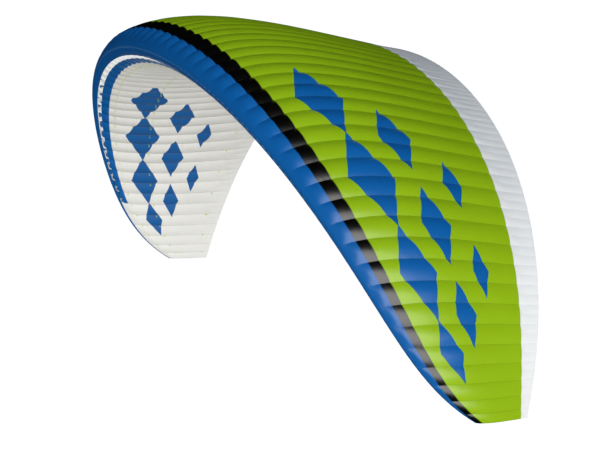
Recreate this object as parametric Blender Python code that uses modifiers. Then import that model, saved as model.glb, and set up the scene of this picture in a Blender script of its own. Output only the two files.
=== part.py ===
"""Paraglider wing: a ram-air canopy of 61 cells in its inflated, arched flying shape.

Frame: +X along the span, +Y towards the trailing edge, +Z up, in metres. The origin is the middle of
the lower sail at 30 % of the root chord, on the second row of line attachments, where the lines hold
the canopy up. A place on the canopy is given by two numbers:
  u  distance along the flat span from the middle, from -1 (one tip) to 1 (the other tip),
  s  place round the wing section, from -1 (trailing edge, lower side) through 0 (nose) to
     1 (trailing edge, upper side); its size is the fraction of the chord.
"""

import bpy
import bmesh
from math import cos, hypot, radians, sin, sqrt
from mathutils import Vector

# ---- driving dimensions (metres, degrees) ----
HALF_SPAN = 6.17         # flat half span, measured along the arch
ROOT_CHORD = 2.9
SIDE_CELLS = 30          # cells on each side of the middle cell
OPEN_SIDE_CELLS = 24     # of these, the ones with an air intake
ARCH = (43.9, 40.7, 5.4)             # slope of the arch: degrees times u, u^3, u^5
LEADING_SWEEP = (1.058, 0.396, 0.322)     # leading edge set back: metres times u^2, u^4, u^20
TRAILING_SWEEP = (-0.349, -0.317, 0.064)  # trailing edge drawn in: metres times u^2, u^4, u^8
TWIST = (5.94, -0.91)                # nose-up twist: degrees times u^2, u^4
CELL_TAPER = (0.337, 0.289)          # cell narrowing: share times (i/30)^2, (i/30)^12
THICKNESS = (0.179, -0.0104)         # section thickness over chord: root, change times u^3
CAMBER = 0.0148
CAMBER_PLACE = 0.3
TAIL_DRAW = 0.013                    # the upper side lies this much lower at 3/4 chord, over the chord
TWIST_AXIS = 0.25                    # chord fraction about which a section twists
ORIGIN_STATION = -0.30               # place round the root section that is the origin

# how far a cell stands proud of its ribs, over the cell's width: most, at the trailing edge, the chord
# fraction over which it fades in behind the nose, and the one from which it falls off to the trailing edge
UPPER_BULGE = (0.110, 0.020, 0.09, 0.35)
LOWER_BULGE = (0.120, 0.020, 0.14, 0.55)

# ---- seams between the sail panels: (station at the middle, change times u^2) ----
INTAKE_FRONT = (-0.024, 0.0)
INTAKE_BACK = (-0.046, 0.0)
LIP_BACK = (-0.082, 0.0)
EDGE_BACK = (0.0541, 0.0047)
STRIPE_BACK = (0.1079, -0.0021)
FIELD_BACK = (0.8505, 0.0083)
TAIL_END = (1.0, 0.0)

SAIL = 0.002             # sail cloth
RIB = 0.0015             # rib cloth
SEAM_GAP = 0.0012        # between two sail panels, outside; narrower inside the bend
RIB_GAP = 0.0008         # between a rib's edge and the sails
LOWER_END = 0.016        # lower sail stops this far before the trailing edge
RIB_TAIL = 0.55          # how far a rib reaches along the trailing panel

# ---- finishes: colour, roughness ----
BLUE = ((0.008, 0.105, 0.36), 0.55)
BLACK = ((0.008, 0.008, 0.009), 0.45)
GREEN = ((0.26, 0.46, 0.008), 0.50)
WHITE = ((0.80, 0.80, 0.82), 0.55)
OFF_WHITE = ((0.76, 0.77, 0.73), 0.60)
RIB_WHITE = ((0.78, 0.78, 0.76), 0.65)


def series(u, factors, powers):
    """Sum of factors times powers of the distance from the middle."""
    return sum(f * abs(u) ** p for f, p in zip(factors, powers))


def cell_edges():
    """Distances u of the 31 rib lines on one side, from the middle cell's rib to the tip."""
    steps = [0.5]
    for i in range(1, SIDE_CELLS + 1):
        t = i / SIDE_CELLS
        steps.append(1 - CELL_TAPER[0] * t ** 2 - CELL_TAPER[1] * t ** 12)
    total = sum(steps)
    edges = []
    reach = 0.0
    for step in steps:
        reach += step
        edges.append(reach / total)
    return edges


def slope(u):
    """Angle of the arch below level at u >= 0, in radians."""
    return radians(series(u, ARCH, (1, 3, 5)))


def arch_point(u, steps=48):
    """Place (x, z) of the arch at u, by Simpson's rule along the span."""
    reach = abs(u)
    h = reach / steps
    x = z = 0.0
    for i in range(steps + 1):
        weight = 1 if i in (0, steps) else (4 if i % 2 else 2)
        x += weight * cos(slope(i * h))
        z -= weight * sin(slope(i * h))
    x *= HALF_SPAN * h / 3
    z *= HALF_SPAN * h / 3
    return (x if u >= 0 else -x), z


def leading_edge(u):
    return series(u, LEADING_SWEEP, (2, 4, 20))


def sweep(u):
    """How far the leading edge falls back over a metre of the span."""
    step = 0.005
    return (leading_edge(u) - leading_edge(abs(u) - step)) / (step * HALF_SPAN)


def chord(u):
    return ROOT_CHORD + series(u, TRAILING_SWEEP, (2, 4, 8)) - leading_edge(u)


def section(u, s):
    """Untwisted section at u: chord fraction back and height, both over the chord."""
    x = abs(s)
    thick = THICKNESS[0] + THICKNESS[1] * abs(u) ** 3
    half = 5 * thick * (0.2969 * sqrt(x) - 0.1260 * x - 0.3516 * x ** 2 + 0.2843 * x ** 3 - 0.1036 * x ** 4)
    if x < CAMBER_PLACE:
        mean = CAMBER / CAMBER_PLACE ** 2 * (2 * CAMBER_PLACE * x - x ** 2)
    else:
        mean = CAMBER / (1 - CAMBER_PLACE) ** 2 * ((1 - 2 * CAMBER_PLACE) + 2 * CAMBER_PLACE * x - x ** 2)
    drawn = TAIL_DRAW * 256 / 27 * x ** 3 * (1 - x)
    return x, mean + (half - drawn if s >= 0 else -half)


def section_normal(u, s):
    """Outward direction (back, up) of the section at s."""
    step = 0.002
    if abs(s) < step:
        return Vector((-1.0, 0.0))
    lo = section(u, max(-1.0, s - step))
    hi = section(u, min(1.0, s + step))
    back, up = hi[0] - lo[0], hi[1] - lo[1]
    return Vector((-up, back)).normalized()


def bulge(s):
    """How far a cell's middle stands proud of its ribs, over the cell's width."""
    full, tail, fade, falls = UPPER_BULGE if s >= 0 else LOWER_BULGE
    aft = max(0.0, (abs(s) - falls) / (1 - falls))
    front = min(1.0, abs(s) / fade)
    return (full + (tail - full) * aft) * front * front * (3 - 2 * front)


ARCH_CACHE = {}


def place(u, back, up):
    """World point of a section's place (back, up), both in metres from its leading edge."""
    if u not in ARCH_CACHE:
        ARCH_CACHE[u] = arch_point(u)
    x, z = ARCH_CACHE[u]
    c = chord(u)
    turn = radians(series(u, TWIST, (2, 4)))
    arm = back - TWIST_AXIS * c
    along = arm * cos(turn) + up * sin(turn)
    rise = -arm * sin(turn) + up * cos(turn)
    tilt = slope(abs(u)) * (1 if u >= 0 else -1)
    return Vector((x + rise * sin(tilt), leading_edge(u) + TWIST_AXIS * c + along, z + rise * cos(tilt)))


def canopy(u, s, proud=0.0):
    """World point on the canopy's outside at (u, s), standing proud by a length in metres."""
    x, height = section(u, s)
    normal = section_normal(u, s)
    c = chord(u)
    return place(u, x * c + normal.x * proud, height * c + normal.y * proud)


ORIGIN = canopy(0.0, ORIGIN_STATION)


def station(seam, u):
    return seam[0] + seam[1] * u * u


def moved(u, s, distance):
    """The station that lies a distance in metres from s along the outside."""
    if distance == 0:
        return s
    step = 0.001 if distance > 0 else -0.001
    length = (canopy(u, s + step) - canopy(u, s)).length
    return s + step * abs(distance) / length


def columns(first=-SIDE_CELLS - 1, last=SIDE_CELLS + 1):
    """Columns (u, cell width, is middle) over the cells between two rib lines, tip to tip by default."""
    edges = cell_edges()
    lines = [-e for e in reversed(edges)] + edges
    rows = []
    half = SIDE_CELLS + 1
    for i in range(first + half, last + half):
        u = lines[i]
        if rows:
            width = (u - rows[-1][0]) * HALF_SPAN
            rows.append(((u + rows[-1][0]) / 2, width, True))
        rows.append((u, 0.0, False))
    return rows


def material(name, finish):
    mat = bpy.data.materials.new(name)
    mat.use_nodes = True
    shader = mat.node_tree.nodes["Principled BSDF"]
    shader.inputs["Base Color"].default_value = (*finish[0], 1.0)
    shader.inputs["Roughness"].default_value = finish[1]
    shader.inputs["Metallic"].default_value = 0.0
    return mat


def finish_object(name, mesh, mat, collection, thickness, offset):
    """Object of an open surface with its cloth thickness."""
    mesh.materials.append(mat)
    obj = bpy.data.objects.new(name, mesh)
    collection.objects.link(obj)
    wall = obj.modifiers.new("cloth", "SOLIDIFY")
    wall.thickness = thickness
    wall.offset = offset
    wall.use_even_offset = True
    return obj


def sail(name, stations, spans, mat, collection, has_face=None):
    """A sail panel: stations are functions of u from its lower or front seam on, spans its columns."""
    bm = bmesh.new()
    grid = []
    for u, width, middle in spans:
        column = []
        for at in stations:
            s = at(u)
            proud = bulge(s) * width if middle else 0.0
            column.append(bm.verts.new(canopy(u, s, proud) - ORIGIN))
        grid.append(column)
    for i in range(len(grid) - 1):
        for j in range(len(stations) - 1):
            if has_face is None or has_face((spans[i][0] + spans[i + 1][0]) / 2, j):
                bm.faces.new((grid[i][j], grid[i + 1][j], grid[i + 1][j + 1], grid[i][j + 1]))
    loose = [v for v in bm.verts if not v.link_faces]
    bmesh.ops.delete(bm, geom=loose, context="VERTS")
    mesh = bpy.data.meshes.new(name)
    bm.to_mesh(mesh)
    bm.free()
    mesh.shade_smooth()
    return finish_object(name, mesh, mat, collection, SAIL, -1.0)


def seam(place_of, side=0):
    """Station function of a seam, half the seam gap behind (side 1) or before (side -1) it."""
    return lambda u: moved(u, station(place_of, u), side * SEAM_GAP / 2)


def at(value):
    return lambda u: value


def lower_end(u):
    return -(1 - LOWER_END / chord(u))


def rib_outline(u):
    """Points (back, up) of a rib, set in from the canopy's outside by the sail and the gap.

    A swept nose is cut askew by the rib, so the sail measures thicker there. Each point lies on a
    corner line of the sails' facets, but for the two at the blunt tail, which lie part of the way
    along the last facets.
    """
    c = chord(u)

    def corner(s):
        return Vector(section(u, s)) * c

    outline = [corner(s) for s in (0.0, 0.008, 0.025, station(EDGE_BACK, u), station(STRIPE_BACK, u),
                                   0.16, 0.35, 0.65, station(FIELD_BACK, u))]
    outline.append(outline[-1].lerp(corner(1.0), RIB_TAIL))
    lower_tail, lower_next = corner(lower_end(u)), corner(-0.65)
    share = (lower_tail.x - outline[-1].x) / (lower_tail.x - lower_next.x)
    outline.append(lower_tail.lerp(lower_next, share))
    outline += [corner(s) for s in (-0.65, -0.25, LIP_BACK[0], INTAKE_BACK[0], INTAKE_FRONT[0], -0.006)]
    slant = sweep(u)
    result = []
    for i, point in enumerate(outline):
        before = (point - outline[i - 1]).normalized()
        after = (outline[(i + 1) % len(outline)] - point).normalized()
        inward = (Vector((before.y, -before.x)) + Vector((after.y, -after.x))).normalized()
        lean = inward.dot(Vector((after.y, -after.x)))
        inset = SAIL * 1.06 * hypot(1, slant * inward.x) + RIB_GAP
        result.append(point + inward * inset / lean)
    return result


def rib(name, u, mat, collection, at_tip=False):
    """One rib: a flat plate across the canopy; a tip rib lies flush with the ends of the sails."""
    mesh = bpy.data.meshes.new(name)
    bm = bmesh.new()
    verts = [bm.verts.new(place(u, p.x, p.y) - ORIGIN) for p in rib_outline(u)]
    face = bm.faces.new(verts)
    bm.normal_update()
    if face.normal.x * (1 if u >= 0 else -1) < 0:
        face.normal_flip()
    bm.to_mesh(mesh)
    bm.free()
    return finish_object(name, mesh, mat, collection, RIB, -1.0 if at_tip else 0.0)


def build():
    for obj in list(bpy.data.objects):
        bpy.data.objects.remove(obj, do_unlink=True)
    collection = bpy.data.collections.new("paraglider_wing")
    bpy.context.scene.collection.children.link(collection)

    blue = material("blue_sail", BLUE)
    black = material("black_sail", BLACK)
    green = material("green_sail", GREEN)
    white = material("white_sail", WHITE)
    off_white = material("off_white_sail", OFF_WHITE)
    rib_cloth = material("rib_cloth", RIB_WHITE)

    whole = columns()
    open_line = OPEN_SIDE_CELLS + 1
    last_open = cell_edges()[OPEN_SIDE_CELLS]

    sail("leading_edge_sail",
         [seam(INTAKE_FRONT, 1), at(-0.006), at(0.0), at(0.008), at(0.025), seam(EDGE_BACK, -1)],
         whole, blue, collection)
    sail("stripe_sail", [seam(EDGE_BACK, 1), seam(STRIPE_BACK, -1)], whole, black, collection)
    sail("upper_sail",
         [seam(STRIPE_BACK, 1), at(0.16), at(0.24), at(0.35), at(0.48), at(0.65), seam(FIELD_BACK, -1)],
         whole, green, collection)
    sail("trailing_sail", [seam(FIELD_BACK, 1), seam(TAIL_END)], whole, white, collection)

    # the lower sail reaches forward to the leading edge only outboard of the last intake
    sail("lower_sail",
         [lower_end, at(-0.65), at(-0.45), at(-0.25), at(-0.14), seam(LIP_BACK, -1), at(-0.046),
          seam(INTAKE_FRONT, -1)],
         whole, off_white, collection, lambda u, j: j < 5 or abs(u) > last_open)

    lip = columns(-open_line, open_line)
    inset = SEAM_GAP / HALF_SPAN
    lip[0] = (lip[0][0] + inset, 0.0, False)
    lip[-1] = (lip[-1][0] - inset, 0.0, False)
    sail("intake_lip_sail", [seam(LIP_BACK, 1), seam(INTAKE_BACK)], lip, blue, collection)

    edges = cell_edges()
    for side, word in ((-1, "left"), (1, "right")):
        for k in range(open_line):
            rib(f"rib_{word}_{k + 1:02d}", side * edges[k], rib_cloth, collection)
        rib(f"tip_rib_{word}", side * edges[-1], off_white, collection, at_tip=True)


build()
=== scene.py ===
"""Looks of a paraglider wing: sails with inflated cells, ribs, line tabs and a plain pale studio.

A place on the canopy is given by two numbers, as in the wing's solids:
  u  distance along the flat span from the middle, from -1 (one tip) to 1 (the other tip),
  s  place round the wing section, from -1 (trailing edge, lower side) through 0 (nose) to
     1 (trailing edge, upper side); its size is the fraction of the chord.
Rib lines are numbered 1 to 31 from the middle cell to each tip. All lengths are in metres.
"""

from __future__ import annotations

import logging
import math
from dataclasses import dataclass
from enum import Enum
from typing import Callable, Sequence

import bpy
import numpy as np
from mathutils import Matrix, Vector

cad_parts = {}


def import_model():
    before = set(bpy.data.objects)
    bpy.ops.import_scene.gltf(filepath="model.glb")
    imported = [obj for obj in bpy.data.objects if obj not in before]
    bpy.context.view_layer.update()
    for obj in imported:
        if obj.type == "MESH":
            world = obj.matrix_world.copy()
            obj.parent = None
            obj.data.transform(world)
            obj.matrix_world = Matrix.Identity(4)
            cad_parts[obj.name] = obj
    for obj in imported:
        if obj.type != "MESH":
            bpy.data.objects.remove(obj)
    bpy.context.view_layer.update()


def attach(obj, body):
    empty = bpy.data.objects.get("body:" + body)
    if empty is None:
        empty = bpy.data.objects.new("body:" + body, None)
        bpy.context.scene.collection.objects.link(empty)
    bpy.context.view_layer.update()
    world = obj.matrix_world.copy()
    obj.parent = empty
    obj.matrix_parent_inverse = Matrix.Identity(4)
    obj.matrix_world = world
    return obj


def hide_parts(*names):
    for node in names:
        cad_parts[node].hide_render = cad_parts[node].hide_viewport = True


LOG = logging.getLogger("paraglider_wing")
BODY = "root"
ARCH_STEPS = 4000    # in which the arch is followed from the middle to a tip

Array = np.ndarray
Colour = tuple[float, float, float]


def srgb(red: int, green: int, blue: int) -> Colour:
    """Linear colour of a screen colour given as 0 to 255."""
    shares = (part / 255 for part in (red, green, blue))
    return tuple(((share + 0.055) / 1.055) ** 2.4 if share > 0.04 else share / 12.92 for share in shares)


# ---- the wing's form


@dataclass(frozen=True)
class WingShape:
    """The inflated canopy as a formula: arch, outline, twist, section and the crown of each cell."""

    half_span: float = 6.17              # flat, measured along the arch
    root_chord: float = 2.9
    side_cells: int = 30                 # on each side of the middle cell
    open_side_cells: int = 24            # of these, the ones with an air intake
    # slope in degrees, times u, u^3, u^5
    arch: tuple[float, ...] = (43.9, 40.7, 5.4)
    # leading edge set back, times u^2, u^4, u^20
    leading_sweep: tuple[float, ...] = (1.058, 0.396, 0.322)
    # trailing edge drawn in, times u^2, u^4, u^8
    trailing_sweep: tuple[float, ...] = (-0.349, -0.317, 0.064)
    twist: tuple[float, ...] = (5.94, -0.91)          # nose up in degrees, times u^2, u^4
    cell_taper: tuple[float, float] = (0.337, 0.289)  # cell narrowing, times (i/30)^2, (i/30)^12
    thickness: tuple[float, float] = (0.179, -0.0104)  # over the chord: root, change times u^3
    camber: float = 0.0148
    camber_place: float = 0.3
    twist_axis: float = 0.25             # chord fraction about which a section twists
    origin_station: float = -0.30        # place round the root section that is the origin
    # crown of a cell over its width: most, at the trailing edge, the chord fraction over which it
    # fades in behind the nose, and the one from which it falls off to the trailing edge
    upper_bulge: tuple[float, ...] = (0.110, 0.020, 0.045, 0.35)
    lower_bulge: tuple[float, ...] = (0.120, 0.020, 0.12, 0.55)
    tail_draw: float = 0.013             # the upper side lies this much lower at 3/4 chord

    def series(self, u: Array, factors: Sequence[float], powers: Sequence[int]) -> Array:
        """Sum of factors times powers of the distance from the middle."""
        return sum(f * np.abs(u) ** p for f, p in zip(factors, powers))

    def rib_lines(self) -> Array:
        """Places the rib lines of one side.

        Returns:
            Distances u of rib lines 1 to 31.
        """
        i = np.arange(1, self.side_cells + 1) / self.side_cells
        steps = np.concatenate([[0.5], 1 - self.cell_taper[0] * i**2 - self.cell_taper[1] * i**12])
        reach = np.cumsum(steps)
        return reach / reach[-1]

    def all_lines(self) -> Array:
        """The 62 rib lines from the left tip to the right tip."""
        side = self.rib_lines()
        return np.concatenate([-side[::-1], side])

    def slope(self, u: Array) -> Array:
        """Angle of the arch below level, in radians, signed with u."""
        return np.radians(self.series(u, self.arch, (1, 3, 5))) * np.sign(u)

    def arch_point(self, u: Array) -> tuple[Array, Array]:
        """Follows the arch outwards.

        Args:
            u: Places along the span.

        Returns:
            Their x and z, with the middle at zero.
        """
        grid = np.linspace(0, 1, ARCH_STEPS + 1)
        angle = np.radians(self.series(grid, self.arch, (1, 3, 5)))
        step = self.half_span * (grid[1] - grid[0])
        ways = (np.cos(angle), np.sin(angle))
        across, down = (np.concatenate([[0], np.cumsum((way[1:] + way[:-1]) / 2)]) * step for way in ways)
        reach = np.abs(u)
        return np.interp(reach, grid, across) * np.sign(u), -np.interp(reach, grid, down)

    def leading_edge(self, u: Array) -> Array:
        """How far the leading edge is set back."""
        return self.series(u, self.leading_sweep, (2, 4, 20))

    def chord(self, u: Array) -> Array:
        """Length of the section at u."""
        return self.root_chord + self.series(u, self.trailing_sweep, (2, 4, 8)) - self.leading_edge(u)

    def section(self, u: Array, s: Array) -> tuple[Array, Array]:
        """Points of the untwisted section, a four-digit one with its upper tail drawn down.

        Args:
            u: Places along the span.
            s: Places round the section.

        Returns:
            How far back and how high each lies, over the chord.
        """
        x = np.abs(s)
        thick = self.thickness[0] + self.thickness[1] * np.abs(u) ** 3
        half = 5 * thick * (0.2969 * np.sqrt(x) - 0.1260 * x - 0.3516 * x**2 + 0.2843 * x**3 - 0.1036 * x**4)
        p = self.camber_place
        front = self.camber / p**2 * (2 * p * x - x**2)
        rear = self.camber / (1 - p) ** 2 * ((1 - 2 * p) + 2 * p * x - x**2)
        drawn = self.tail_draw * 256 / 27 * x**3 * (1 - x)
        return x, np.where(x < p, front, rear) + np.where(s >= 0, half - drawn, -half)

    def section_normal(self, u: Array, s: Array) -> tuple[Array, Array]:
        """Outward directions of the section.

        Args:
            u: Places along the span.
            s: Places round the section.

        Returns:
            The parts back and up of each direction.
        """
        step = 0.002
        x0, z0 = self.section(u, np.maximum(-1.0, s - step))
        x1, z1 = self.section(u, np.minimum(1.0, s + step))
        back, up = -(z1 - z0), x1 - x0
        size = np.hypot(back, up)
        nose = np.abs(s) < step
        return np.where(nose, -1.0, back / size), np.where(nose, 0.0, up / size)

    def crown(self, s: Array) -> Array:
        """How far a cell's middle stands proud of its ribs.

        Args:
            s: Places round the section.

        Returns:
            The height over the cell's width.
        """
        sides = zip(self.upper_bulge, self.lower_bulge)
        full, tail, fade, falls = (np.where(s >= 0, upper, lower) for upper, lower in sides)
        aft = np.clip((np.abs(s) - falls) / (1 - falls), 0, 1)
        nose = np.clip(np.abs(s) / fade, 0, 1)
        return (full + (tail - full) * aft) * nose * nose * (3 - 2 * nose)

    def place(self, u: Array, back: Array, up: Array) -> Array:
        """Puts points of sections on the wing.

        Args:
            u: Places along the span.
            back: Distances behind the leading edge.
            up: Heights over the chord.

        Returns:
            The points, one row each, before the origin is moved.
        """
        x, z = self.arch_point(u)
        turn = np.radians(self.series(u, self.twist, (2, 4)))
        pivot = self.twist_axis * self.chord(u)
        arm = back - pivot
        along = arm * np.cos(turn) + up * np.sin(turn)
        rise = -arm * np.sin(turn) + up * np.cos(turn)
        tilt = self.slope(u)
        return np.stack(
            [x + rise * np.sin(tilt), self.leading_edge(u) + pivot + along, z + rise * np.cos(tilt)], axis=-1
        )

    def canopy(self, u: Array, s: Array, proud: Array | float = 0.0) -> Array:
        """Points on the canopy's outside in the part's frame.

        Args:
            u: Places along the span.
            s: Places round the section.
            proud: How far the points stand out of the plain section.

        Returns:
            The points, one row each.
        """
        u, s = np.broadcast_arrays(np.asarray(u, float), np.asarray(s, float))
        x, height = self.section(u, s)
        back, up = self.section_normal(u, s)
        chord = self.chord(u)
        return self.place(u, x * chord + back * proud, height * chord + up * proud) - self.origin()

    def origin(self) -> Array:
        """The point of the root's lower sail that becomes the part's origin."""
        x, height = self.section(np.zeros(1), np.full(1, self.origin_station))
        return self.place(np.zeros(1), x * self.root_chord, height * self.root_chord)[0]


WING = WingShape()


@dataclass(frozen=True)
class Seam:
    """A seam along the span: its station in the middle, its shift towards the tips and in the last cells."""

    middle: float
    change: float = 0.0
    tip: float = 0.0

    def at(self, u: Array) -> Array:
        """Station of the seam at u."""
        return self.middle + self.change * u**2 + self.tip * u**24


class Seams:
    """The seams between the sails, nose to tail."""

    INTAKE_FRONT = Seam(-0.024)
    INTAKE_BACK = Seam(-0.044)
    LIP_BACK = Seam(-0.082)
    EDGE_BACK = Seam(0.0541, 0.0047, -0.045)
    STRIPE_BACK = Seam(0.1079, -0.0021)
    FIELD_BACK = Seam(0.8560, 0.0083)
    TAIL_END = Seam(1.0)
    LOWER_END = Seam(-1.0)


# ---- materials


class Sock:
    """A number or colour in a material, with arithmetic that adds Math nodes."""

    def __init__(self, board: Board, socket: bpy.types.NodeSocket) -> None:
        """Keeps the socket and the board that it is on."""
        self.board = board
        self.socket = socket

    def _maths(self, operation: str, first: Sock | float, second: Sock | float) -> Sock:
        """One Math node."""
        return self.board.node("ShaderNodeMath", {"operation": operation}, {0: first, 1: second})

    def __add__(self, other: Sock | float) -> Sock:
        """Sum."""
        return self._maths("ADD", self, other)

    __radd__ = __add__

    def __sub__(self, other: Sock | float) -> Sock:
        """Difference."""
        return self._maths("SUBTRACT", self, other)

    def __rsub__(self, other: Sock | float) -> Sock:
        """A number less this."""
        return self._maths("SUBTRACT", other, self)

    def __mul__(self, other: Sock | float) -> Sock:
        """Product."""
        return self._maths("MULTIPLY", self, other)

    __rmul__ = __mul__

    def __truediv__(self, other: Sock | float) -> Sock:
        """Quotient."""
        return self._maths("DIVIDE", self, other)

    def __rtruediv__(self, other: Sock | float) -> Sock:
        """A number over this."""
        return self._maths("DIVIDE", other, self)

    def __gt__(self, other: Sock | float) -> Sock:
        """1 where this is greater, else 0."""
        return self._maths("GREATER_THAN", self, other)

    def __lt__(self, other: Sock | float) -> Sock:
        """1 where this is less, else 0."""
        return self._maths("LESS_THAN", self, other)

    def __abs__(self) -> Sock:
        """Size without sign."""
        return self._maths("ABSOLUTE", self, 0.0)

    def low(self, other: Sock | float) -> Sock:
        """The lesser of the two."""
        return self._maths("MINIMUM", self, other)

    def high(self, other: Sock | float) -> Sock:
        """The greater of the two."""
        return self._maths("MAXIMUM", self, other)

    def turn(self) -> Sock:
        """The part after the decimal point."""
        return self._maths("FRACT", self, 0.0)

    def clamp(self) -> Sock:
        """Held between 0 and 1."""
        return self.high(0.0).low(1.0)

    def ramp(self, start: float, end: float) -> Sock:
        """Smooth step from 0 at start to 1 at end."""
        inputs = {"Value": self, "From Min": start, "From Max": end}
        return self.board.node("ShaderNodeMapRange", {"interpolation_type": "SMOOTHSTEP"}, inputs)


class Board:
    """The node tree of a material or of the sky."""

    def __init__(self, owner: bpy.types.Material | bpy.types.World) -> None:
        """Turns the owner's nodes on and works on them."""
        owner.use_nodes = True
        self.tree = owner.node_tree

    def socket(self, node: str, name: str) -> bpy.types.NodeSocket:
        """An input of one of the nodes that the tree starts with."""
        return self.tree.nodes[node].inputs[name]

    def link(self, socket: bpy.types.NodeSocket, value: Sock | float | Sequence[float]) -> None:
        """Feeds a socket.

        Args:
            socket: The input.
            value: An output to link, or a plain value to set.
        """
        if isinstance(value, Sock):
            self.tree.links.new(value.socket, socket)
        elif isinstance(value, tuple) and len(value) == 3 and len(socket.default_value) == 4:
            socket.default_value = (*value, 1.0)
        else:
            socket.default_value = value

    def surface(self, inputs: dict[str, Sock | float | Colour]) -> None:
        """Feeds inputs of the surface shader, by name."""
        for name, value in inputs.items():
            self.link(self.socket("Principled BSDF", name), value)

    def node(self, kind: str, settings: dict, inputs: dict, output: int | str = 0) -> Sock:
        """Adds a node.

        Args:
            kind: The node's type.
            settings: Its own settings, set first.
            inputs: Values or links by socket name or number.
            output: The socket that is used.

        Returns:
            The output, ready for arithmetic.
        """
        node = self.tree.nodes.new(kind)
        for key, value in settings.items():
            setattr(node, key, value)
        for key, value in inputs.items():
            self.link(node.inputs[key], value)
        return Sock(self, node.outputs[output])

    def mix(self, share: Sock | float, first: Sock | Colour, second: Sock | Colour) -> Sock:
        """Colour between two colours."""
        settings = {"data_type": "RGBA", "blend_type": "MIX"}
        return self.node("ShaderNodeMix", settings, {0: share, 6: first, 7: second}, 2)

    def split(self, vector: Sock) -> tuple[Sock, Sock, Sock]:
        """The three numbers of a vector."""
        first = self.node("ShaderNodeSeparateXYZ", {}, {0: vector})
        return tuple(Sock(self, output) for output in first.socket.node.outputs)

    def attribute(self, name: str) -> tuple[Sock, Sock, Sock]:
        """The three numbers of a vector attribute."""
        return self.split(self.node("ShaderNodeAttribute", {"attribute_name": name}, {}, "Vector"))

    def noise(self, x: Sock, y: Sock, scale: float, detail: float = 2.0) -> Sock:
        """Noise of about -0.5 to 0.5 over two numbers."""
        place = self.node("ShaderNodeCombineXYZ", {}, {0: x, 1: y})
        return self.node("ShaderNodeTexNoise", {}, {"Vector": place, "Scale": scale, "Detail": detail}) - 0.5

    def bump(self, height: Sock, distance: float, below: Sock | None = None) -> Sock:
        """Normal of a height.

        Args:
            height: The height, in units of distance.
            distance: How high 1 stands.
            below: The normal that it is laid over.

        Returns:
            The normal.
        """
        inputs = {"Height": height, "Distance": distance, "Strength": 1.0}
        if below is not None:
            inputs["Normal"] = below
        return self.node("ShaderNodeBump", {}, inputs)


MIDDLE_CELL = 30.5           # the wing's middle, counted in rib lines from the left tip
CLOUD_SCALE = 1.7            # per metre, of the faint clouds in a cloth's colour
CLOUD_TINTS = (0.96, 1.03)
CLOUD_ROUGHNESS = 0.06

# the topstitched line beside the nose
THREAD = srgb(150, 185, 215)
THREAD_COVER = 0.65          # how much of the cloth's colour a stitch hides
STITCH_PLACE = 0.018         # its distance from the nose, towards the intakes
STITCH_CORE = 0.0015         # half width over which a stitch is whole
STITCH_EDGE = 0.005          # half width over which it has faded out
STITCHES_PER_METRE = 10.0

# seams, and the painted crease shade over the ribs: how far each reaches to its side
SEAM_AND_CREASE_SHADE_TINT = 0.3              # the colour of a seam, and of the painted crease shade over a rib, over its cloth's
SEAM_REACH = 0.005           # between two panels
RIB_SEAM_REACH = 0.004       # over a rib, for its seam and painted crease shade
MINI_RIB_REACH = 0.03        # over a short rib of the trailing edge, for its seam and painted crease shade, as a share of the cell
MINI_RIB_START = 0.87        # chord fraction from which the short ribs run back
INLAY_SEAM = 0.012           # the seam round an inlay runs where its inside number has this value
INLAY_EDGES = (0.002, 0.008)    # and is whole and gone this far from it
INLAY_SEAM_COVER = 0.3
INLAY_SEAM_TINT = 0.4

# relief
PUCKER_REACH = 0.06          # the puckers beside a rib's seam have died out this far from it
PUCKER_SCALE = (6.0, 30.0)   # per metre, along the span and round the section
RIPPLE_SCALE = (1.3, 7.0)
STITCH_PITCH = 0.006         # of the stitches along a rib's seam
STITCH_GAP = 0.4             # the share of it without thread
STITCH_WIDTH = 0.0012
STITCH_HEIGHT = 2.0          # over a thread's
THREAD_PITCH = 0.005         # of the ripstop grid
THREAD_SHARE = 0.44          # the grid's threads begin this far from the middle of a square
THREAD_HEIGHT = 0.00012


@dataclass(frozen=True)
class Lozenge:
    """A diamond of coloured cloth pieced into a sail, on both halves of the wing."""

    rib: float          # rib line at its middle, 1 to 31
    station: float      # chord fraction at its middle
    half_ribs: float    # half its length along the span, in rib lines
    half_chord: float   # half its width, over the chord

    def inside(self, rib: Sock, station: Sock) -> Sock:
        """A number that is positive inside the diamond and 1 at its middle."""
        along = abs(rib - self.rib) * (1 / self.half_ribs)
        return 1.0 - along - abs(station - self.station) * (1 / self.half_chord)


LOZENGES = (
    Lozenge(13.2, 0.270, 2.5, 0.090),
    Lozenge(18.1, 0.270, 2.5, 0.100),
    Lozenge(22.7, 0.270, 2.2, 0.100),
    Lozenge(26.4, 0.275, 1.6, 0.085),
    Lozenge(15.7, 0.470, 1.9, 0.070),
    Lozenge(20.4, 0.470, 1.9, 0.075),
    Lozenge(24.6, 0.470, 1.6, 0.070),
    Lozenge(18.1, 0.640, 1.3, 0.045),
    Lozenge(22.5, 0.640, 1.3, 0.048),
)


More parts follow.
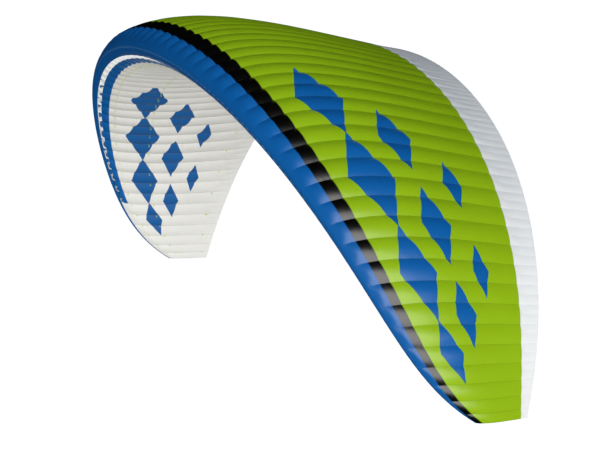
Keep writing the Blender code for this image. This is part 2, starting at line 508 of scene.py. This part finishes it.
@dataclass(frozen=True)
class ClothFinish:
    """Coated ripstop cloth of one colour, with its seams, painted crease shade over the ribs, weave and
    puckers.
    """

    name: str
    slot: str                     # the record's material slot
    colour: Colour
    roughness: float = 0.29
    gloss: float = 0.8            # specular level
    ior: float = 1.5              # index of refraction
    rib_seam_and_crease_shade: float = 0.30        # how dark the seam and the painted crease shade over a rib are
    panel_seam: float = 0.20      # how dark the seam between two panels is
    mini_rib_seam_and_crease_shade: float = 0.0         # how dark the seams and the painted crease shade over the short ribs of the trailing edge are
    nose_stitch: bool = False     # a pale topstitched line along the nose
    inlay: Colour | None = None
    pucker: float = 0.0025        # height of the puckers beside a seam
    ripple: float = 0.0           # height of the slack cloth's ripples

    def material(self) -> bpy.types.Material:
        """Builds the material.

        Returns:
            A material that reads the attributes cloth and edge and the UV map flat_cloth of its piece.
        """
        made = bpy.data.materials.new(self.name)
        board = Board(made)
        rib, station, to_rib = board.attribute("cloth")
        to_front, to_back, from_nose = board.attribute("edge")
        across, along, _ = board.split(board.node("ShaderNodeUVMap", {"uv_map": "flat_cloth"}, {}))
        cloud = board.noise(across, along, CLOUD_SCALE, 3.0)
        dark, pale = (self.tint(factor) for factor in CLOUD_TINTS)
        colour = board.mix((cloud * 2.0 + 0.5).clamp(), dark, pale)
        if self.inlay is not None:
            colour = self.pieced(board, colour, rib, station)
        # seams darken the cloth; along the rib lines this darkening is also painted crease shade
        seams = self.seams(rib, station, to_rib, to_front.low(to_back))
        colour = board.mix(seams, colour, self.tint(SEAM_AND_CREASE_SHADE_TINT))
        if self.nose_stitch:
            beside = abs(from_nose + STITCH_PLACE)
            dashes = (across * STITCHES_PER_METRE).turn() < 0.5
            thread = (1.0 - beside.ramp(STITCH_CORE, STITCH_EDGE)) * dashes
            colour = board.mix(thread * THREAD_COVER, colour, THREAD)
        board.surface({
            "Base Color": colour,
            "Roughness": cloud * CLOUD_ROUGHNESS + self.roughness,
            "Normal": self.relief(board, across, along, to_rib),
            "Specular IOR Level": self.gloss,
            "IOR": self.ior,
        })
        return made

    def tint(self, factor: float) -> Colour:
        """The cloth's colour, darker or lighter."""
        return tuple(min(1.0, part * factor) for part in self.colour)

    def pieced(self, board: Board, colour: Sock, rib: Sock, station: Sock) -> Sock:
        """Adds the diamonds and the stitched seam round each.

        Args:
            board: The material's nodes.
            colour: The sail's colour.
            rib: Number in rib lines from the left tip.
            station: Chord fraction.

        Returns:
            The new colour.
        """
        number = abs(rib - MIDDLE_CELL) + 0.5
        inside = LOZENGES[0].inside(number, station)
        for lozenge in LOZENGES[1:]:
            inside = inside.high(lozenge.inside(number, station))
        colour = board.mix(inside > 0.0, colour, self.inlay)
        seam = 1.0 - abs(inside - INLAY_SEAM).ramp(*INLAY_EDGES)
        stitched = tuple(part * INLAY_SEAM_TINT for part in self.inlay)
        return board.mix(seam * INLAY_SEAM_COVER, colour, stitched)

    def seams(self, rib: Sock, station: Sock, to_rib: Sock, to_panel_edge: Sock) -> Sock:
        """How much the seams, and the painted crease shade over the ribs, darken each place.

        Args:
            rib: Number in rib lines from the left tip.
            station: Chord fraction.
            to_rib: Distance to the nearest rib.
            to_panel_edge: Distance to the nearest seam between panels.

        Returns:
            A share of 0 to 1.
        """
        # painted crease shade along each rib line, together with its seam
        seam_and_crease_shade_over_rib = (1.0 - to_rib.ramp(0.0, RIB_SEAM_REACH)) * self.rib_seam_and_crease_shade
        between = (1.0 - to_panel_edge.ramp(0.0, SEAM_REACH)) * self.panel_seam
        dark = seam_and_crease_shade_over_rib.high(between)
        if self.mini_rib_seam_and_crease_shade:
            # painted crease shade along each short rib, together with its seam
            middle = abs(rib.turn() - 0.5)
            seam_and_crease_shade_over_short_rib = (1.0 - middle.ramp(0.0, MINI_RIB_REACH)) * (station > MINI_RIB_START)
            dark = dark.high(seam_and_crease_shade_over_short_rib * self.mini_rib_seam_and_crease_shade)
        return dark

    def relief(self, board: Board, across: Sock, along: Sock, to_rib: Sock) -> Sock:
        """Normal of the puckers, the stitches and the ripstop threads.

        Args:
            board: The material's nodes.
            across: Place on the flat cloth along the span.
            along: Place on the flat cloth round the section.
            to_rib: Distance to the nearest rib.

        Returns:
            The normal.
        """
        near_seam = 1.0 - to_rib.ramp(0.0, PUCKER_REACH)
        puckers = board.noise(across * PUCKER_SCALE[0], along * PUCKER_SCALE[1], 1.0, 1.0) * near_seam
        beside = abs(to_rib - RIB_SEAM_REACH)
        sewn = (along / STITCH_PITCH).turn() > STITCH_GAP
        stitch = (1.0 - beside.ramp(0.0, STITCH_WIDTH)) * sewn
        weft = abs((across / THREAD_PITCH).turn() - 0.5)
        warp = abs((along / THREAD_PITCH).turn() - 0.5)
        grid = weft.high(warp)
        soft = board.bump(puckers, self.pucker)
        if self.ripple:
            ripples = board.noise(across * RIPPLE_SCALE[0], along * RIPPLE_SCALE[1], 1.0, 1.0)
            soft = board.bump(ripples, self.ripple, soft)
        return board.bump((grid > THREAD_SHARE) + stitch * STITCH_HEIGHT, THREAD_HEIGHT, soft)


@dataclass(frozen=True)
class WebbingFinish:
    """Woven polyester webbing with a fine grain."""

    name: str
    slot: str
    colour: Colour
    roughness: float = 0.6
    grain_scale: float = 900.0    # per metre
    grain_height: float = 0.0004

    def material(self) -> bpy.types.Material:
        """Builds the material from Object coordinates.

        Returns:
            A material for webbing in its final place.
        """
        made = bpy.data.materials.new(self.name)
        board = Board(made)
        x, y, z = board.split(board.node("ShaderNodeTexCoord", {}, {}, "Object"))
        grain = board.noise(x, y + z, self.grain_scale, 1.0)
        colour = board.mix((grain + 0.5).clamp(), tuple(part * 0.8 for part in self.colour), self.colour)
        board.surface({
            "Base Color": colour,
            "Roughness": grain * 0.1 + self.roughness,
            "Normal": board.bump(grain, self.grain_height),
        })
        return made


Finish = ClothFinish | WebbingFinish

BLUE = srgb(0, 92, 166)
DULL_BLUE = srgb(0, 84, 150)    # the lower sail's diamonds

BLUE_SAIL = ClothFinish("blue_ripstop", "blue_sail", BLUE, rib_seam_and_crease_shade=0.2, nose_stitch=True)
BLACK_SAIL = ClothFinish(
    "black_ripstop", "black_sail", (0.0005, 0.0005, 0.0005),
    gloss=0.9, ior=1.66, rib_seam_and_crease_shade=0.2,
)
GREEN_SAIL = ClothFinish("lime_ripstop", "green_sail", srgb(144, 182, 2), inlay=BLUE)
WHITE_SAIL = ClothFinish("white_ripstop", "white_sail", srgb(236, 237, 238), rib_seam_and_crease_shade=0.15, mini_rib_seam_and_crease_shade=0.12)
LOWER_SAIL = ClothFinish(
    "off_white_ripstop", "lower_sail", srgb(217, 216, 214), roughness=0.55, gloss=0.4,
    rib_seam_and_crease_shade=0.4, panel_seam=0.05, ripple=0.008, inlay=DULL_BLUE,
)
RIB_CLOTH = ClothFinish(
    "stiff_ripstop", "rib_cloth", srgb(252, 252, 251),
    roughness=0.6, rib_seam_and_crease_shade=0.0, pucker=0.001,
)
TAB_WEBBING = WebbingFinish("lime_webbing", "green_sail", srgb(196, 222, 40))


# ---- modelling helpers


class Side(Enum):
    """The two halves of the wing, by the sign of x."""

    LEFT = -1
    RIGHT = 1

    @property
    def word(self) -> str:
        """The half's name in the names of pieces."""
        return self.name.lower()


RIM_ANGLE = math.radians(50)    # edges sharper than this are shaded as edges


def deselect() -> None:
    """Leaves edit mode and clears the selection."""
    if bpy.context.object and bpy.context.object.mode != "OBJECT":
        bpy.ops.object.mode_set(mode="OBJECT")
    bpy.ops.object.select_all(action="DESELECT")


def add_object(name: str, data: bpy.types.ID) -> bpy.types.Object:
    """Adds an object for a mesh, a light or a camera.

    Args:
        name: Its name.
        data: The mesh, light or camera.

    Returns:
        The object, at the origin.
    """
    obj = bpy.data.objects.new(name, data)
    bpy.context.collection.objects.link(obj)
    return obj


def pick(*objects: bpy.types.Object) -> None:
    """Selects only these objects and makes the first one active.

    Args:
        *objects: What is selected.
    """
    deselect()
    for obj in objects:
        obj.select_set(True)
    bpy.context.view_layer.objects.active = objects[0]


def in_edit_mode(obj: bpy.types.Object, *steps: Callable[[], object]) -> None:
    """Runs edit-mode steps on all of an object's geometry.

    Args:
        obj: The object.
        *steps: What is run, in order.
    """
    pick(obj)
    bpy.ops.object.mode_set(mode="EDIT")
    bpy.ops.mesh.select_all(action="SELECT")
    for step in steps:
        step()
    bpy.ops.object.mode_set(mode="OBJECT")


def coordinates(mesh: bpy.types.Mesh) -> Array:
    """Reads where the points of a mesh are.

    Args:
        mesh: The mesh.

    Returns:
        The points, one row each.
    """
    flat = np.empty(len(mesh.vertices) * 3)
    mesh.vertices.foreach_get("co", flat)
    return flat.reshape(-1, 3)


def shape(mesh: bpy.types.Mesh, points: Array) -> None:
    """Moves the points of a mesh."""
    mesh.vertices.foreach_set("co", np.ascontiguousarray(points).ravel())
    mesh.update()


def vector_attribute(mesh: bpy.types.Mesh, name: str, values: Array) -> None:
    """Stores a vector on each point."""
    layer = mesh.attributes.new(name, "FLOAT_VECTOR", "POINT")
    layer.data.foreach_set("vector", np.ascontiguousarray(values, np.float32).ravel())


def lay_flat(mesh: bpy.types.Mesh, places: Array) -> None:
    """Fills the UV map flat_cloth.

    Args:
        mesh: The mesh.
        places: Each point's place on the flat cloth.
    """
    layer = mesh.uv_layers[0] if mesh.uv_layers else mesh.uv_layers.new()
    layer.name = "flat_cloth"
    loops = np.empty(len(mesh.loops), int)
    mesh.loops.foreach_get("vertex_index", loops)
    layer.data.foreach_set("uv", places[loops].astype(np.float32).ravel())


def cloth_area(mesh: bpy.types.Mesh) -> float:
    """Area of an open surface."""
    return sum(face.area for face in mesh.polygons)


def thicken(obj: bpy.types.Object, thickness: float, offset: float) -> None:
    """Gives an open surface its cloth thickness, with crisp rims.

    Args:
        obj: The open surface.
        thickness: Of the cloth.
        offset: Where it goes: -1 inwards, 0 to both sides, 1 outwards.
    """
    wall = obj.modifiers.new("cloth", "SOLIDIFY")
    wall.thickness = thickness
    wall.offset = offset
    wall.use_even_offset = True
    pick(obj)
    bpy.ops.object.modifier_apply(modifier=wall.name)
    bpy.ops.object.shade_smooth_by_angle(angle=RIM_ANGLE, keep_sharp_edges=True)


def hand_over(obj: bpy.types.Object, finish: Finish, solids: Sequence[str]) -> None:
    """Dresses a finished piece and lets it ride on the wing.

    Args:
        obj: The piece.
        finish: What it is made of.
        solids: The solids that it stands for.
    """
    obj.data.materials.clear()
    obj.data.materials.append(bpy.data.materials.get(finish.name) or finish.material())
    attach(obj, BODY)
    if solids:
        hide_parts(*solids)
    LOG.info("%s: %d faces", obj.name, len(obj.data.polygons))


# ---- sails


@dataclass
class SailPanel:
    """One sail: a flat grid of cloth, wrapped on the wing with a crown in every cell."""

    name: str
    finish: Finish
    front: Seam
    back: Seam
    rows: int                  # of faces between the two seams
    solids: tuple[str, ...] = ()
    first_line: int = 0        # rib lines from the left tip at which it begins and ends
    last_line: int = 61
    steps: int = 12            # columns to a cell
    cloth: float = 0.001       # thickness
    gather: float = 1.0        # above 1 sets the rows closer together near the front seam
    round_nose: bool = False   # spaces the rows evenly round the blunt nose
    stop_short: float = 0.0    # the back edge stays this far before its seam
    fullness: float = 1.03     # width of the flat cloth over the distance that it spans
    halving: tuple[float, float] = (0.86, 0.92)    # where the mini ribs halve the cells

    def columns(self) -> tuple[Array, Array, Array]:
        """Places the grid's columns.

        Returns:
            Place u, number in rib lines from the left tip, and width of the cell.
        """
        lines = WING.all_lines()
        count = (self.last_line - self.first_line) * self.steps + 1
        number = self.first_line + np.arange(count) / self.steps
        cell = np.minimum(np.floor(number).astype(int), self.last_line - 1)
        gap = lines[cell + 1] - lines[cell]
        return lines[cell] + gap * (number - cell), number, gap * WING.half_span

    def stations(self, u: Array) -> Array:
        """Places the grid's rows.

        Args:
            u: The columns' places along the span.

        Returns:
            The stations of the rows in each column, from the front seam to the back seam.
        """
        share = np.linspace(0, 1, self.rows + 1) ** self.gather
        first, last = self.front.at(u), self.back.at(u)
        last = last + np.sign(first - last) * self.stop_short / WING.chord(u)
        if self.round_nose:
            first, last = (np.sign(end) * np.sqrt(np.abs(end)) for end in (first, last))
        rows = first[:, None] + (last - first)[:, None] * share[None, :]
        return rows * np.abs(rows) if self.round_nose else rows

    def nose_girth(self, s: Array, from_front: Array) -> Array:
        """Measures how far round the section the nose is.

        Args:
            s: Stations of the rows in each column.
            from_front: Their distances from the front seam.

        Returns:
            Distance from the front seam to the nose in each column, or -1 without a nose.
        """
        if not self.round_nose:
            return np.full(len(s), -1.0)
        return np.array([np.interp(0.0, *column) for column in zip(s, from_front)])

    def crown(self, s: Array, part: Array) -> Array:
        """Share of the full crown; the mini ribs of the trailing edge halve the cells.

        Args:
            s: Places round the section.
            part: Places across the cell, as a share of its width.

        Returns:
            A share of 0 to 1.
        """
        half = (part * 2) % 1.0
        start, end = self.halving
        blend = np.clip((np.abs(s) - start) / (end - start), 0, 1)
        blend = blend * blend * (3 - 2 * blend)
        return 4 * part * (1 - part) * (1 - blend) + 2 * half * (1 - half) * blend

    def build(self) -> bpy.types.Object:
        """Makes the sail.

        Returns:
            The finished piece, riding on the wing.
        """
        u, number, width = self.columns()
        s = self.stations(u)
        part = (number % 1.0)[:, None]
        points = WING.canopy(u[:, None], s, WING.crown(s) * width[:, None] * self.crown(s, part))
        girth = np.linalg.norm(np.diff(points, axis=1), axis=2)
        from_front = np.concatenate([np.zeros((len(u), 1)), np.cumsum(girth, axis=1)], axis=1)
        to_back = from_front[:, -1:] - from_front
        from_nose = from_front - self.nose_girth(s, from_front)[:, None]
        to_rib = np.minimum(part, 1 - part) * width[:, None] + np.zeros_like(s)
        rib = number[:, None] + np.zeros_like(s)

        deselect()
        bpy.ops.mesh.primitive_grid_add(x_subdivisions=len(u) - 1, y_subdivisions=self.rows, size=2)
        obj = bpy.context.object
        mesh = obj.data
        obj.name = mesh.name = self.name
        flat = (coordinates(mesh) + 1) / 2
        i = np.rint(flat[:, 0] * (len(u) - 1)).astype(int)
        j = np.rint(flat[:, 1] * self.rows).astype(int)
        shape(mesh, points[i, j])
        if self.back.middle < self.front.middle:
            in_edit_mode(obj, bpy.ops.mesh.flip_normals)
        vector_attribute(mesh, "cloth", np.stack([rib, np.abs(s), to_rib], -1)[i, j])
        vector_attribute(mesh, "edge", np.stack([from_front, to_back, from_nose], -1)[i, j])
        lay_flat(mesh, np.stack([(u * WING.half_span)[i], from_front[i, j]], -1))
        area = cloth_area(mesh)
        mesh.shade_smooth()
        self.crease(mesh, i)
        thicken(obj, self.cloth, -1.0)
        hand_over(obj, self.finish, self.solids)
        wide = float(u[-1] - u[0]) * WING.half_span * self.fullness
        long = max(float(from_front[:, -1].max()), area / wide)
        return obj

    def crease(self, mesh: bpy.types.Mesh, column: Array) -> None:
        """Marks the edges that lie on rib lines as sharp, so that the cells meet in a crease.

        Args:
            mesh: The sail.
            column: The column of each of its points.
        """
        ends = np.empty(len(mesh.edges) * 2, int)
        mesh.edges.foreach_get("vertices", ends)
        one, other = column[ends.reshape(-1, 2)].T
        mesh.edges.foreach_set("use_edge_sharp", (one == other) & (one % self.steps == 0))


OPEN_FIRST = WING.side_cells - WING.open_side_cells    # rib line of the first intake, from the left tip
OPEN_LAST = 2 * WING.side_cells + 1 - OPEN_FIRST

SAILS = (
    SailPanel(
        "leading_edge", BLUE_SAIL, Seams.INTAKE_FRONT, Seams.EDGE_BACK, 16,
        ("leading_edge_sail",), round_nose=True,
    ),
    SailPanel("stripe", BLACK_SAIL, Seams.EDGE_BACK, Seams.STRIPE_BACK, 4, ("stripe_sail",)),
    SailPanel("upper", GREEN_SAIL, Seams.STRIPE_BACK, Seams.FIELD_BACK, 32, ("upper_sail",), gather=1.15),
    SailPanel("trailing", WHITE_SAIL, Seams.FIELD_BACK, Seams.TAIL_END, 8, ("trailing_sail",), steps=16),
    SailPanel(
        "lower", LOWER_SAIL, Seams.LIP_BACK, Seams.LOWER_END, 40,
        ("lower_sail",), gather=1.1, stop_short=0.012,
    ),
    SailPanel(
        "intake_lip", BLUE_SAIL, Seams.INTAKE_BACK, Seams.LIP_BACK, 4,
        ("intake_lip_sail",), OPEN_FIRST, OPEN_LAST,
    ),
    SailPanel("lower_nose_left", LOWER_SAIL, Seams.INTAKE_FRONT, Seams.LIP_BACK, 6, (), 0, OPEN_FIRST),
    SailPanel("lower_nose_right", LOWER_SAIL, Seams.INTAKE_FRONT, Seams.LIP_BACK, 6, (), OPEN_LAST),
)


# ---- ribs


NO_STATION = 2.0    # marks a rib's points that don't lie on its outline


@dataclass(frozen=True)
class Crossport:
    """An oval hole in a rib, which lets air pass between cells. All sizes are over the chord."""

    back: float
    rise: float
    radius: float


@dataclass
class RibSet:
    """The ribs: flat plates under the sails. Those between open cells have a row of crossports."""

    cloth: float = 0.001          # thickness
    inset: float = 0.003          # the open ribs' edges lie this far inside the canopy's outside
    tip_inset: float = 0.0006
    tail: float = 0.93            # where the open ribs end, over the chord
    tip_tail: float = 0.985
    outline_steps: int = 26
    gather: float = 1.8           # above 1 sets the outline's points closer together at the nose
    allowance: float = 1.05       # height of the flat cloth that a rib is cut from, over the rib's
    hole_steps: int = 16
    hole_shape: float = 0.8       # a crossport's length over its height
    holes: tuple[Crossport, ...] = (
        Crossport(0.052, -0.003, 0.030),
        Crossport(0.120, 0.006, 0.036),
        Crossport(0.205, 0.011, 0.043),
        Crossport(0.300, 0.012, 0.046),
        Crossport(0.400, 0.012, 0.044),
        Crossport(0.505, 0.010, 0.038),
        Crossport(0.610, 0.008, 0.030),
        Crossport(0.710, 0.006, 0.021),
    )

    def build(self) -> list[bpy.types.Object]:
        """Cuts one rib for each open rib line and for both tips.

        Returns:
            The ribs, riding on the wing.
        """
        lines = WING.rib_lines()
        cut, follow = self.cut(self.tail, self.holes)
        tip_cut, tip_follow = self.cut(self.tip_tail, ())
        made = []
        for side in Side:
            for k in range(1, WING.open_side_cells + 2):
                number = f"{side.word}_{k:02d}"
                u = side.value * lines[k - 1]
                obj = self.place(f"rib_cloth_{number}", u, cut, follow, self.inset)
                thicken(obj, self.cloth, 0.0)
                hand_over(obj, RIB_CLOTH, (f"rib_{number}",))
                made.append(obj)
            tip = self.place(f"tip_{side.word}", float(side.value), tip_cut, tip_follow, self.tip_inset)
            if tip.data.polygons[0].normal.x * side.value < 0:    # it would look inwards
                in_edit_mode(tip, bpy.ops.mesh.flip_normals)
            thicken(tip, self.cloth, -1.0)
            hand_over(tip, LOWER_SAIL, (f"tip_rib_{side.word}",))
            made.append(tip)
        bpy.data.meshes.remove(cut)
        bpy.data.meshes.remove(tip_cut)
        return made

    def cut(self, tail: float, holes: Sequence[Crossport]) -> tuple[bpy.types.Mesh, Array]:
        """Models a rib flat, in chord lengths.

        Args:
            tail: Where the rib ends, over the chord.
            holes: Its crossports.

        Returns:
            The filled mesh, and the station of each of its points, or NO_STATION for a crossport's.
        """
        ease = np.linspace(0, 1, self.outline_steps) ** self.gather * tail
        stations = np.concatenate([ease, -ease[:0:-1]])
        x, z = WING.section(np.zeros_like(stations), stations)
        points = [(back, up, 0.0) for back, up in zip(x, z)]
        edges = [(i, (i + 1) % len(points)) for i in range(len(points))]
        for hole in holes:
            start = len(points)
            for n in range(self.hole_steps):
                angle = 2 * math.pi * n / self.hole_steps
                back = hole.back + hole.radius * self.hole_shape * math.cos(angle)
                points.append((back, hole.rise + hole.radius * math.sin(angle), 0.0))
                edges.append((start + n, start + (n + 1) % self.hole_steps))
        mesh = bpy.data.meshes.new("rib_cut")
        mesh.from_pydata(points, edges, [])
        obj = add_object("rib_cut", mesh)
        in_edit_mode(obj, bpy.ops.mesh.fill)
        bpy.data.objects.remove(obj)
        follow = np.full(len(points), NO_STATION)
        follow[: len(stations)] = stations
        return mesh, follow

    def place(
        self, name: str, u: float, cut: bpy.types.Mesh, follow: Array, inset: float
    ) -> bpy.types.Object:
        """Args:
            name: The rib's name.
            u: Its place along the span.
            cut: The flat rib.
            follow: The station of each point, or NO_STATION for a crossport's.
            inset: How far its edge lies inside the canopy's outside.

        Returns:
            The rib, still without thickness.
        """
        flat = coordinates(cut)
        at = np.full(len(flat), u)
        chord = float(WING.chord(at[:1])[0])
        outline = follow < NO_STATION
        s = np.where(outline, follow, 0.0)
        x, z = WING.section(at, s)
        back, up = WING.section_normal(at, s)
        px = np.where(outline, x * chord - back * inset, flat[:, 0] * chord)
        pz = np.where(outline, z * chord - up * inset, flat[:, 1] * chord)
        mesh = cut.copy()
        mesh.name = name
        obj = add_object(name, mesh)
        shape(mesh, WING.place(at, px, pz) - WING.origin())
        lay_flat(mesh, np.stack([px, pz], -1))
        vector_attribute(mesh, "cloth", np.tile((0, 0, 1), (len(flat), 1)))    # far from every seam
        vector_attribute(mesh, "edge", np.tile((1, 1, 0), (len(flat), 1)))
        return obj


# ---- line tabs


@dataclass(frozen=True)
class TabRow:
    """A row of tabs along the span."""

    name: str
    station: float
    every: int      # a tab on every so many rib lines


@dataclass
class LineTabs:
    """Loops of lime webbing in the lower sail's rib seams, to which the suspension lines are knotted."""

    width: float = 0.006
    reach: float = 0.042          # from the seam to the loop's end
    webbing: float = 0.0014       # thickness
    eye: float = 0.008            # radius of the loop's eye
    neck: float = 0.35            # width of the loop's root over its eye
    eye_steps: int = 14
    outermost: int = 30           # rib line of the last tabs
    rows: tuple[TabRow, ...] = (
        TabRow("line_tabs_front", -0.113, 1),
        TabRow("line_tabs_middle", -0.310, 1),
        TabRow("line_tabs_back", -0.830, 2),
    )

    def loop(self) -> bpy.types.Object:
        """Models one loop, which hangs down from the origin with its width along X.

        Returns:
            The loop.
        """
        deselect()
        bpy.ops.mesh.primitive_cylinder_add(
            vertices=self.eye_steps, radius=self.eye, depth=self.width, end_fill_type="NOTHING",
            location=(0, 0, self.eye - self.reach), rotation=(0, math.pi / 2, 0),
        )
        obj = bpy.context.object
        bpy.ops.object.transform_apply()
        root = np.max(coordinates(obj.data)[:, 2]) - self.eye * 0.5    # the points above make the root
        bpy.ops.object.mode_set(mode="EDIT")
        bpy.ops.mesh.select_all(action="DESELECT")
        bpy.ops.object.mode_set(mode="OBJECT")
        for point in obj.data.vertices:
            point.select = point.co.z > root
        bpy.ops.object.mode_set(mode="EDIT")
        bpy.ops.transform.resize(value=(1, self.neck, 1))
        bpy.ops.transform.translate(value=(0, 0, self.reach - 2 * self.eye))
        bpy.ops.object.mode_set(mode="OBJECT")
        obj.data.shade_smooth()
        thicken(obj, self.webbing, 1.0)
        return obj

    def seat(self, u: float, station: float) -> Matrix:
        """Turns and places a tab: up is the way into the wing, and its width lies along the span.

        Args:
            u: Place along the span.
            station: Place round the section.

        Returns:
            The turn and place.
        """
        at, s = np.full(1, u), np.full(1, station)
        foot, out = WING.canopy(at, s)[0], WING.canopy(at, s, 0.01)[0]
        ahead = WING.canopy(at, s + 0.001)[0]
        up = Vector(foot - out).normalized()
        along = Vector(foot - ahead).normalized()
        across = along.cross(up).normalized()
        turn = Matrix((across, up.cross(across), up)).transposed().to_4x4()
        return Matrix.Translation(Vector(foot)) @ turn

    def build(self) -> list[bpy.types.Object]:
        """Copies the loop to each rib line and joins each row.

        Returns:
            One piece for each row.
        """
        model = self.loop()
        lines = WING.rib_lines()
        made = []
        for row in self.rows:
            copies = []
            for side in Side:
                for k in range(row.every, self.outermost + 1, row.every):
                    mesh = model.data.copy()
                    mesh.transform(self.seat(side.value * lines[k - 1], row.station))
                    copies.append(add_object(row.name, mesh))
            pick(*copies)
            bpy.ops.object.join()
            joined = bpy.context.object
            joined.name = joined.data.name = row.name
            hand_over(joined, TAB_WEBBING, ())
            made.append(joined)
        bpy.data.objects.remove(model)
        return made


# ---- studio


@dataclass(frozen=True)
class SunLamp:
    """A distant soft light, without a shadow, as a big panel near the camera gives."""

    name: str
    towards: tuple[float, float, float]    # the way from the wing to the light
    energy: float
    colour: Colour = (1.0, 1.0, 1.0)
    softness: float = 80.0                 # degrees across

    def build(self) -> None:
        """Hangs the light."""
        data = bpy.data.lights.new(self.name, "SUN")
        data.energy = self.energy
        data.color = self.colour
        data.angle = math.radians(self.softness)
        data.use_shadow = False
        lamp = add_object(self.name, data)
        lamp.rotation_euler = Vector(self.towards).to_track_quat("Z", "Y").to_euler()


@dataclass
class Studio:
    """Plain pale floor, soft light and the camera."""

    floor_level: float = -4.2
    floor_reach: float = 1500.0
    floor_glow: float = 0.68
    light_above: Colour = (0.235, 0.277, 0.326)
    light_below: Colour = (0.480, 0.485, 0.455)
    horizon: float = 0.3                   # half the band over which the two meet
    key: SunLamp = SunLamp("key", (0.95, -0.29, 0.085), 2.9, (1.0, 0.985, 0.955))
    camera_place: tuple[float, float, float] = (18.50, -5.81, 0.925)
    camera_turn: tuple[float, float, float] = (69.74, -7.64, 1.18)    # yaw, pitch, roll in degrees
    lens: float = 109.3       # in millimetres, as the sensor's width
    sensor: float = 36.0
    sight: float = 5000.0     # the camera sees this far

    def build(self) -> None:
        """Makes the floor, sky, light and camera."""
        self.floor()
        self.sky()
        self.key.build()
        self.camera()
        bpy.context.scene.view_settings.view_transform = "Standard"

    def floor(self) -> None:
        """A wide pale floor under the wing, which throws no light back up."""
        deselect()
        bpy.ops.mesh.primitive_plane_add(size=self.floor_reach * 2, location=(0, 0, self.floor_level))
        floor = bpy.context.object
        floor.name = "floor"
        made = bpy.data.materials.new("pale_floor")
        Board(made).surface({
            "Base Color": (0.9, 0.9, 0.9),
            "Roughness": 0.9,
            "Emission Color": (1.0, 1.0, 1.0),
            "Emission Strength": self.floor_glow,
        })
        floor.data.materials.append(made)
        floor.visible_diffuse = False
        floor.visible_glossy = False

    def sky(self) -> None:
        """A white backdrop that lights the wing softly, and more from below, as a pale floor does."""
        world = bpy.data.worlds.new("soft_sky")
        board = Board(world)
        _, _, height = board.split(board.node("ShaderNodeTexCoord", {}, {}, "Generated"))
        light = board.mix(height.ramp(-self.horizon, self.horizon), self.light_below, self.light_above)
        seen = board.node("ShaderNodeLightPath", {}, {}, "Is Camera Ray")
        board.link(board.socket("Background", "Color"), board.mix(seen, light, (1.0, 1.0, 1.0)))
        world.cycles_visibility.glossy = False
        bpy.context.scene.world = world

    def camera(self) -> None:
        """The camera in front of and outside the right tip."""
        yaw, pitch, roll = (math.radians(angle) for angle in self.camera_turn)
        ahead = Vector((-math.sin(yaw) * math.cos(pitch), math.cos(yaw) * math.cos(pitch), math.sin(pitch)))
        right = Vector((math.cos(yaw), math.sin(yaw), 0.0))
        up = right.cross(ahead)
        side = right * math.cos(roll) + up * math.sin(roll)
        top = up * math.cos(roll) - right * math.sin(roll)
        data = bpy.data.cameras.new("camera")
        data.lens = self.lens
        data.sensor_width = self.sensor
        data.clip_end = self.sight
        camera = add_object("camera", data)
        turn = Matrix((side, top, -ahead)).transposed().to_4x4()
        camera.matrix_world = Matrix.Translation(self.camera_place) @ turn
        bpy.context.scene.camera = camera


def main() -> None:
    """Builds the sails, ribs, tabs and studio in order."""
    logging.basicConfig(level=logging.INFO)
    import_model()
    for sail in SAILS:
        sail.build()
    RibSet().build()
    LineTabs().build()
    Studio().build()


if __name__ == "__main__":
    main()
